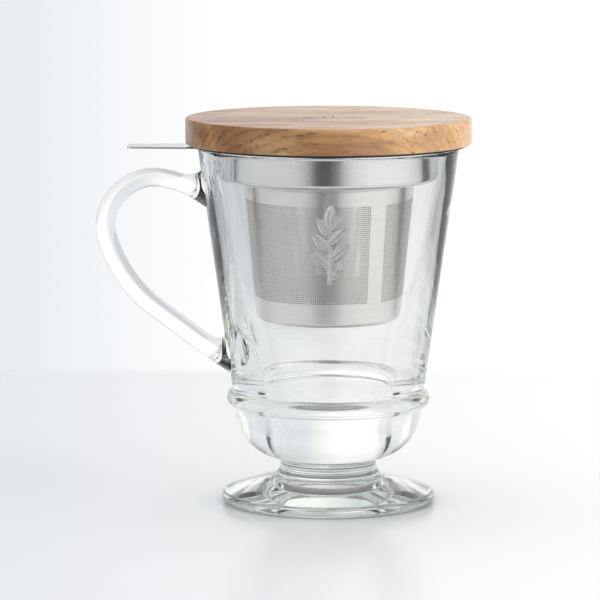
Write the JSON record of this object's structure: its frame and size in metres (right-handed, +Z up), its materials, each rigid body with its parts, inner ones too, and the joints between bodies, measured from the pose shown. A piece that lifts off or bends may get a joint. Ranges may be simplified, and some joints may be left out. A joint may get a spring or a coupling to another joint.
{
  "type": "lidded tea mug with infuser",
  "caption": "Footed pressed-glass tea mug with a loop handle, a lift-out perforated steel infuser and a loose turned wooden lid.",
  "frame": {"origin": "middle of the foot's underside, in the plane that the mug stands on", "axes": "+Z up along the mug's axis, the handle and the lifting tab point to -X"},
  "size_m": [0.1261, 0.096, 0.13],
  "materials": {
    "pressed_glass": "fire polished",
    "polished_steel": "satin",
    "perforated_steel": "satin, etched holes",
    "oiled_wood": "oiled",
    "black_silicone": "matt"
  },
  "bodies": {
    "mug": {"glass_cup": "pressed_glass", "cup_handle": "pressed_glass"},
    "infuser": {"infuser_collar": "polished_steel", "basket_wall": "perforated_steel", "basket_base": "polished_steel"},
    "lid": {"lid_disc": "oiled_wood", "lid_gasket": "black_silicone"}
  },
  "joints": [
    {"name": "infuser_lift", "type": "slide", "parent": "mug", "child": "infuser", "axis": [0, 0, 1], "range_m": [0, 0.11]},
    {"name": "lid_lift", "type": "slide", "parent": "infuser", "child": "lid", "axis": [0, 0, 1], "range_m": [0, 0.09]}
  ]
}
